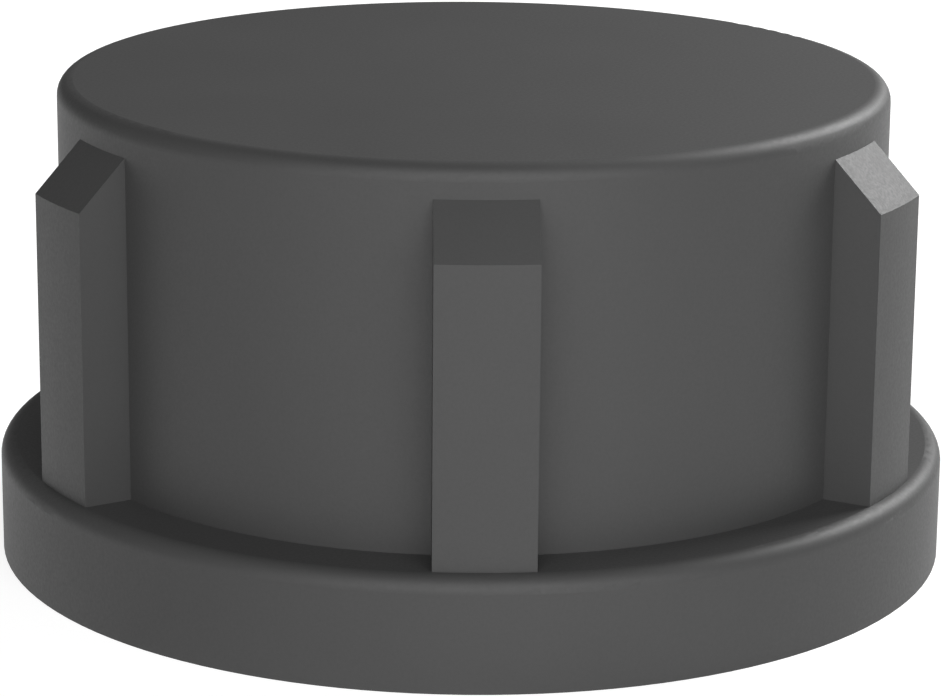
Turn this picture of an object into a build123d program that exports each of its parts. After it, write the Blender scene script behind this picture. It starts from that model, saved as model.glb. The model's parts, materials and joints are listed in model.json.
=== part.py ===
from build123d import *

import os

# Screw-on end cap for a 1 1/4 inch pipe, moulded in one piece.
#
# All sizes are in millimetres. +Z points from the open mouth to the closed top, and
# the origin is the centre of the mouth's rim. One of the grip ribs faces -Y.

# Socket: a bore at the root of the parallel pipe thread Rp 1 1/4, then a plain chamber
thread_diameter = 41.91
thread_end = 20.0
mouth_chamfer = 1.0
chamber_step = 1.75
chamber_height = 5.0
chamber_edge_chamfer = 1.5

# Walls round the socket and over it
side_wall = 5.045
end_wall = 5.0
top_edge_radius = 1.0

# Collar round the mouth
collar_projection = 4.0
collar_height = 7.0
collar_edge_radius = 1.0

# Grip ribs: square-edged bars standing on the collar, each with a 45 degree bevel on top
rib_count = 6
rib_width = 6.0
rib_top_gap = 2.0
rib_bite = 0.5
rib_facing = -90

# Worked out from the sizes above
bore_radius = thread_diameter / 2
chamber_radius = bore_radius - chamber_step
body_radius = bore_radius + side_wall
collar_radius = body_radius + collar_projection
chamber_end = thread_end + chamber_height
cap_height = chamber_end + end_wall

# A rib's face curves round the cap and stands where the collar's rounded edge begins.
# Its root is sunk into the body by the bite, and the bevel runs on into the body.
rib_radius = collar_radius - collar_edge_radius
rib_root_radius = body_radius - rib_bite
rib_bevel_top = cap_height - rib_top_gap + rib_bite
rib_face_top = rib_bevel_top - (rib_radius - rib_root_radius)

# The ribs are what is left of a turned ring, cut away between them
with BuildPart() as ribs:
    with BuildSketch(Plane.XZ):
        with BuildLine():
            Polyline(
                (rib_root_radius, collar_height),
                (rib_radius, collar_height),
                (rib_radius, rib_face_top),
                (rib_root_radius, rib_bevel_top),
                close=True,
            )
        make_face()
    revolve(axis=Axis.Z)
    with BuildSketch(Plane.XY.offset(collar_height)):
        with PolarLocations(radius=0, count=rib_count, start_angle=rib_facing):
            Rectangle(collar_radius, rib_width, align=(Align.MIN, Align.CENTER))
    extrude(amount=cap_height, mode=Mode.INTERSECT)

with BuildPart() as end_cap:
    # Collar and body
    with BuildSketch(Plane.XZ) as outline:
        with BuildLine():
            Polyline(
                (0, 0),
                (collar_radius, 0),
                (collar_radius, collar_height),
                (body_radius, collar_height),
                (body_radius, cap_height),
                (0, cap_height),
                close=True,
            )
        make_face()
        collar_edge = outline.vertices().group_by(Axis.X)[-1].sort_by(Axis.Y)[-1]
        fillet(collar_edge, radius=collar_edge_radius)
        top_edge = outline.vertices().group_by(Axis.Y)[-1].sort_by(Axis.X)[-1]
        fillet(top_edge, radius=top_edge_radius)
    revolve(axis=Axis.Z)

    # Grip ribs
    add(ribs.part)

    # Socket
    with BuildSketch(Plane.XZ) as socket:
        with BuildLine():
            Polyline(
                (0, 0),
                (bore_radius + mouth_chamfer, 0),
                (bore_radius, mouth_chamfer),
                (bore_radius, thread_end),
                (chamber_radius, thread_end),
                (chamber_radius, chamber_end),
                (0, chamber_end),
                close=True,
            )
        make_face()
        chamber_edge = socket.vertices().group_by(Axis.Y)[-1].sort_by(Axis.X)[-1]
        chamfer(chamber_edge, length=chamber_edge_chamfer)
    revolve(axis=Axis.Z, mode=Mode.SUBTRACT)

end_cap.part.label = "end_cap"

os.makedirs("parts", exist_ok=True)
export_step(end_cap.part, "parts/end_cap.step")
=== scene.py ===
import json
import math

import bpy
from mathutils import Matrix, Vector


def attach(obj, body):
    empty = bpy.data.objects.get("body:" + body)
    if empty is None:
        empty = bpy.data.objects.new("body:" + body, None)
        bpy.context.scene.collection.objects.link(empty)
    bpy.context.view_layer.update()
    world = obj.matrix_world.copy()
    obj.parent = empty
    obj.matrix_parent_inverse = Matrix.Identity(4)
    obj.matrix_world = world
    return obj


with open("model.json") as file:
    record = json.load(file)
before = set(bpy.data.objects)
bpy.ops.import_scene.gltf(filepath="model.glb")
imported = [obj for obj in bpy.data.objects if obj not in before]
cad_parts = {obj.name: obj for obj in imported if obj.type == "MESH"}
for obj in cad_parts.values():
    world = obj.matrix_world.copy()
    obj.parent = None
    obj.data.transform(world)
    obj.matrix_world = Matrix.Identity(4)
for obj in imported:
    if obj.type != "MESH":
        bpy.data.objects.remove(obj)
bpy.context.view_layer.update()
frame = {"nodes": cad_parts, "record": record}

MM = 0.001
BODY = "root"


class Wire:
    """A node's output, used like a number: each operator adds the Math node that it needs."""

    def __init__(self, tree, socket):
        self.tree = tree
        self.socket = socket

    def math(self, operation, *terms):
        return self.tree.node("ShaderNodeMath", {"operation": operation}, enumerate(terms))

    def __add__(self, other):
        return self.math("ADD", self, other)

    def __radd__(self, other):
        return self.math("ADD", other, self)

    def __sub__(self, other):
        return self.math("SUBTRACT", self, other)

    def __rsub__(self, other):
        return self.math("SUBTRACT", other, self)

    def __mul__(self, other):
        return self.math("MULTIPLY", self, other)

    def __rmul__(self, other):
        return self.math("MULTIPLY", other, self)

    def __truediv__(self, other):
        return self.math("DIVIDE", self, other)

    def __rtruediv__(self, other):
        return self.math("DIVIDE", other, self)

    def __neg__(self):
        return self.math("MULTIPLY", self, -1)

    def __lt__(self, other):
        return self.math("LESS_THAN", self, other)

    def __gt__(self, other):
        return self.math("GREATER_THAN", self, other)


class Tree:
    """A shader or geometry tree, built node by node."""

    def __init__(self, block):
        self.block = block
        self.block.nodes.clear()

    def node(self, kind, settings=(), values=(), output=0, items=0):
        """Adds a node: its settings and extra items first, then its inputs' values or wires."""
        added = self.block.nodes.new(kind)
        for name, setting in dict(settings).items():
            setattr(added, name, setting)
        for _ in range(items):
            added.index_switch_items.new()
        for key, value in dict(values).items():
            if isinstance(value, Wire):
                self.block.links.new(value.socket, added.inputs[key])
            else:
                added.inputs[key].default_value = value
        return Wire(self, added.outputs[output]) if added.outputs else None

    def vector(self, x=0.0, y=0.0, z=0.0):
        return self.node("ShaderNodeCombineXYZ", values={"X": x, "Y": y, "Z": z})


def new_material(name):
    material = bpy.data.materials.new(name)
    material.use_nodes = True
    return material, Tree(material.node_tree)


# Moulded plastic: a fine grain from the mould, and broad clouds in its tone and polish

GRAIN_SIZE = 0.2 * MM
GRAIN_DEPTH = 0.006 * MM
GRAIN_ROUGHNESS = 0.24
CLOUD_SIZE = 9 * MM
CLOUD_ROUGHNESS = 0.04
CLOUD_TONE = 0.008
LEAST_ROUGHNESS = 0.43
DARKEST_TONE = 0.041
PLASTIC_IOR = 1.5


def soft_noise(tree, size, detail):
    """Noise all through the plastic, from 0 to 1, in spots of about the given size."""
    place = tree.node("ShaderNodeTexCoord", output="Object")
    return tree.node(
        "ShaderNodeTexNoise",
        values={"Vector": place, "Scale": 1 / size, "Detail": detail, "Roughness": 0.5},
    )


def cap_plastic():
    """Dark grey moulded plastic with a fine even grain."""
    material, tree = new_material("cap_plastic")
    grain = soft_noise(tree, GRAIN_SIZE, detail=2)
    cloud = soft_noise(tree, CLOUD_SIZE, detail=3)
    tone = DARKEST_TONE + CLOUD_TONE * cloud
    colour = tree.node(
        "ShaderNodeCombineColor", values={"Red": tone, "Green": tone, "Blue": tone}
    )
    relief = tree.node(
        "ShaderNodeBump", values={"Strength": 1.0, "Distance": GRAIN_DEPTH, "Height": grain}
    )
    shader = tree.node(
        "ShaderNodeBsdfPrincipled",
        values={
            "Base Color": colour,
            "Roughness": LEAST_ROUGHNESS + CLOUD_ROUGHNESS * cloud + GRAIN_ROUGHNESS * grain,
            "IOR": PLASTIC_IOR,
            "Normal": relief,
        },
    )
    tree.node("ShaderNodeOutputMaterial", values={"Surface": shader})
    return material


# Pipe thread: parallel Rp 1 1/4, right-handed, with rounded crests and roots

THREAD_PITCH = 2.309 * MM
THREAD_FLANK_ANGLE = math.radians(27.5)
THREAD_DEPTH = 0.640327 * THREAD_PITCH
THREAD_ROUNDING = 0.137329 * THREAD_PITCH

# The ridge's foot stands just proud of the wall and its back is sunk in it, and turns stop
# short of each other by the clearance. The ridge reaches its full size within half a turn.
THREAD_PROUD = 0.02 * MM
THREAD_SINK = 0.15 * MM
THREAD_CLEARANCE = 0.002 * MM
THREAD_END_FULLNESS = 0.02
THREAD_WELD = 0.0001 * MM
THREAD_CREASE_ANGLE = math.radians(40)
THREAD_POINTS_PER_TURN = 96
THREAD_ROUNDING_POINTS = 4


def thread_profile(tree, size):
    """The ridge in section: X points into the wall, Y runs along it."""
    half_pitch = size["Pitch"] / 2 - size["Clearance"]
    half_crest = size["Rounding"] * math.tan((math.pi / 2 - THREAD_FLANK_ANGLE) / 2)
    half_foot = size["Pitch"] / 2 - half_crest
    crest = -size["Depth"]
    corners = [
        tree.vector(size["Sink"], half_pitch),
        tree.vector(0.0, half_pitch),
        tree.vector(0.0, half_foot),
        tree.vector(crest, half_crest),
        tree.vector(crest, -half_crest),
        tree.vector(0.0, -half_foot),
        tree.vector(0.0, -half_pitch),
        tree.vector(size["Sink"], -half_pitch),
    ]
    index = tree.node("GeometryNodeInputIndex")
    corner = tree.node(
        "GeometryNodeIndexSwitch",
        {"data_type": "VECTOR"},
        {"Index": index, **{str(place): at for place, at in enumerate(corners)}},
        items=len(corners) - 2,
    )
    line = tree.node("GeometryNodeCurvePrimitiveLine")
    line = tree.node(
        "GeometryNodeResampleCurve", values={"Curve": line, "Count": len(corners)}
    )
    line = tree.node("GeometryNodeSetPosition", values={"Geometry": line, "Position": corner})
    line = tree.node("GeometryNodeSetSplineCyclic", values={"Geometry": line, "Cyclic": True})
    middle = (len(corners) - 1) / 2
    rounded = index.math("ABSOLUTE", index - middle) < 2
    return tree.node(
        "GeometryNodeFilletCurve",
        {"mode": "POLY"},
        {
            "Curve": line,
            "Count": size["Rounding Points"],
            "Radius": size["Rounding"] * rounded,
            "Limit Radius": True,
        },
    )


def thread_tree():
    """A ridge wound up the socket's wall, growing out of it and dying back into it."""
    block = bpy.data.node_groups.new("pipe_thread", "GeometryNodeTree")
    tree = Tree(block)
    for name, kind in {
        "Wall Radius": "Float",
        "Start Height": "Float",
        "Turns": "Float",
        "Pitch": "Float",
        "Depth": "Float",
        "Rounding": "Float",
        "Proud": "Float",
        "Sink": "Float",
        "Clearance": "Float",
        "End Fullness": "Float",
        "Weld": "Float",
        "Crease Angle": "Float",
        "Points Per Turn": "Int",
        "Rounding Points": "Int",
        "Material": "Material",
    }.items():
        block.interface.new_socket(name, in_out="INPUT", socket_type="NodeSocket" + kind)
    block.interface.new_socket("Mesh", in_out="OUTPUT", socket_type="NodeSocketGeometry")
    inputs = block.nodes.new("NodeGroupInput")
    size = {socket.name: Wire(tree, socket) for socket in inputs.outputs if socket.name}

    radius = size["Wall Radius"] - size["Proud"]
    helix = tree.node(
        "GeometryNodeCurveSpiral",
        values={
            "Resolution": size["Points Per Turn"],
            "Rotations": size["Turns"],
            "Start Radius": radius,
            "End Radius": radius,
            "Height": size["Turns"] * size["Pitch"],
            "Reverse": True,
        },
    )
    helix = tree.node("GeometryNodeSetCurveNormal", {"mode": "Z_UP"}, {"Curve": helix})
    share = tree.node("GeometryNodeSplineParameter")
    half_turns_left = 2 * size["Turns"] * share.math("MINIMUM", share, 1 - share)
    fullness = share.math("MINIMUM", half_turns_left + size["End Fullness"], 1)
    ridge = tree.node(
        "GeometryNodeCurveToMesh",
        values={
            "Curve": helix,
            "Profile Curve": thread_profile(tree, size),
            "Scale": fullness,
            "Fill Caps": True,
        },
    )
    ridge = tree.node(
        "GeometryNodeMergeByDistance", values={"Geometry": ridge, "Distance": size["Weld"]}
    )
    ridge = tree.node(
        "GeometryNodeTransform",
        values={"Geometry": ridge, "Translation": tree.vector(z=size["Start Height"])},
    )
    ridge = tree.node("GeometryNodeSetShadeSmooth", values={"Geometry": ridge})
    fold = tree.node("GeometryNodeInputMeshEdgeAngle")
    ridge = tree.node(
        "GeometryNodeSetShadeSmooth",
        {"domain": "EDGE"},
        {"Geometry": ridge, "Selection": fold > size["Crease Angle"], "Shade Smooth": False},
    )
    ridge = tree.node("GeometryNodeRealizeInstances", values={"Geometry": ridge})
    ridge = tree.node(
        "GeometryNodeSetMaterial", values={"Geometry": ridge, "Material": size["Material"]}
    )
    tree.node("NodeGroupOutput", values={"Mesh": ridge})
    return block


def pipe_thread(plastic):
    """The thread's ridge, along the whole stated length of the socket's wall."""
    socket = next(m for m in frame["record"]["mounts"] if m["name"] == "pipe_thread")
    end_room = THREAD_END_FULLNESS * THREAD_PITCH / 2
    path_length = socket["dims"]["length_mm"] * MM - 2 * end_room
    values = {
        "Wall Radius": socket["dims"]["r_mm"] * MM,
        "Start Height": socket["pos_m"][2] + end_room,
        "Turns": path_length / THREAD_PITCH,
        "Pitch": THREAD_PITCH,
        "Depth": THREAD_DEPTH,
        "Rounding": THREAD_ROUNDING,
        "Proud": THREAD_PROUD,
        "Sink": THREAD_SINK,
        "Clearance": THREAD_CLEARANCE,
        "End Fullness": THREAD_END_FULLNESS,
        "Weld": THREAD_WELD,
        "Crease Angle": THREAD_CREASE_ANGLE,
        "Points Per Turn": THREAD_POINTS_PER_TURN,
        "Rounding Points": THREAD_ROUNDING_POINTS,
        "Material": plastic,
    }
    carrier = bpy.data.objects.new("thread_carrier", bpy.data.meshes.new("thread_carrier"))
    bpy.context.scene.collection.objects.link(carrier)
    modifier = carrier.modifiers.new("pipe_thread", "NODES")
    modifier.node_group = thread_tree()
    for item in modifier.node_group.interface.items_tree:
        if item.in_out == "INPUT":
            modifier[item.identifier] = values[item.name]
    evaluated = carrier.evaluated_get(bpy.context.evaluated_depsgraph_get())
    ridge = bpy.data.objects.new("pipe_thread", bpy.data.meshes.new_from_object(evaluated))
    bpy.data.objects.remove(carrier)
    bpy.context.scene.collection.objects.link(ridge)
    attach(ridge, BODY)


# Studio: a white paper floor and soft lamps, each named by where it stands

FLOOR_WIDTH = 4.0
PAPER_TONE = 0.5
PAPER_WHITE = 0.75
ROOM_LIGHT = 0.15
LAMP_DISTANCE = 0.6
CAP_MIDDLE = Vector((0, 0, 15)) * MM


def floor_paper():
    """Paper that looks white, also as the cap mirrors it, and still takes the cap's shadow."""
    material, tree = new_material("studio_floor")
    paper = tree.node(
        "ShaderNodeBsdfDiffuse", values={"Color": (PAPER_TONE, PAPER_TONE, PAPER_TONE, 1)}
    )
    camera_ray = tree.node("ShaderNodeLightPath", output="Is Camera Ray")
    glossy_ray = tree.node("ShaderNodeLightPath", output="Is Glossy Ray")
    transmission_ray = tree.node("ShaderNodeLightPath", output="Is Transmission Ray")
    seen = camera_ray + glossy_ray + transmission_ray
    white = tree.node("ShaderNodeEmission", values={"Strength": seen * PAPER_WHITE})
    surface = tree.node("ShaderNodeAddShader", values={0: paper, 1: white})
    tree.node("ShaderNodeOutputMaterial", values={"Surface": surface})
    return material


def studio_floor():
    """The sheet that the cap stands on."""
    half = FLOOR_WIDTH / 2
    mesh = bpy.data.meshes.new("studio_floor")
    mesh.from_pydata(
        [(-half, -half, 0), (half, -half, 0), (half, half, 0), (-half, half, 0)],
        [],
        [(0, 1, 2, 3)],
    )
    mesh.materials.append(floor_paper())
    floor = bpy.data.objects.new("studio_floor", mesh)
    bpy.context.scene.collection.objects.link(floor)


def room_light():
    """A little even light from all round."""
    world = bpy.data.worlds.new("studio_room")
    world.use_nodes = True
    bpy.context.scene.world = world
    tree = Tree(world.node_tree)
    room = tree.node("ShaderNodeBackground", values={"Color": (1, 1, 1, 1), "Strength": ROOM_LIGHT})
    tree.node("ShaderNodeOutputWorld", values={"Surface": room})


def soft_lamp(name, bearing, height, width, depth, light):
    """A soft lamp aimed at the cap, from a bearing off the camera's side and a height angle.

    Its light is what falls on a surface at the cap that faces it, where pi shows white as white.
    """
    panel = bpy.data.lights.new(name, "AREA")
    panel.shape = "RECTANGLE"
    panel.size = width
    panel.size_y = depth
    panel.energy = light * math.pi * LAMP_DISTANCE**2
    lamp = bpy.data.objects.new(name, panel)
    turn, rise = math.radians(bearing), math.radians(height)
    level = math.cos(rise)
    toward = Vector((math.sin(turn) * level, -math.cos(turn) * level, math.sin(rise)))
    lamp.location = toward * LAMP_DISTANCE
    lamp.rotation_euler = (CAP_MIDDLE - lamp.location).to_track_quat("-Z", "Y").to_euler()
    lamp.visible_camera = False
    bpy.context.scene.collection.objects.link(lamp)


# Camera: turned slightly to the right and rolled by half a degree

CAMERA_PLACE = Vector((-6.6, -225.7, 75.3)) * MM
CAMERA_AIM = Vector((-0.077, 0.0, 12.13)) * MM
CAMERA_ROLL = math.radians(0.47)
CAMERA_LENS = 140.3
CAMERA_SENSOR = 36.0
CAMERA_NEAR_LIMIT = 10 * MM


def camera():
    lens = bpy.data.cameras.new("camera")
    lens.sensor_width = CAMERA_SENSOR
    lens.lens = CAMERA_LENS
    lens.clip_start = CAMERA_NEAR_LIMIT
    holder = bpy.data.objects.new("camera", lens)
    bpy.context.scene.collection.objects.link(holder)
    turn = (CAMERA_AIM - CAMERA_PLACE).to_track_quat("-Z", "Y").to_matrix().to_4x4()
    roll = Matrix.Rotation(CAMERA_ROLL, 4, "Z")
    holder.matrix_world = Matrix.Translation(CAMERA_PLACE) @ turn @ roll
    bpy.context.scene.camera = holder


plastic = cap_plastic()
frame["nodes"]["end_cap"].material_slots[0].material = plastic
pipe_thread(plastic)
studio_floor()
room_light()
soft_lamp("low_front_lamp", bearing=0, height=12, width=1.2, depth=0.2, light=2.0)
soft_lamp("high_front_lamp", bearing=0, height=40, width=0.6, depth=0.3, light=1.38)
soft_lamp("right_lamp", bearing=35, height=25, width=0.4, depth=0.3, light=0.3)
soft_lamp("back_right_lamp", bearing=130, height=33, width=0.25, depth=0.22, light=2.7)
soft_lamp("back_lamp", bearing=160, height=26, width=0.3, depth=0.3, light=0.08)
camera()
bpy.context.scene.view_settings.view_transform = "Standard"
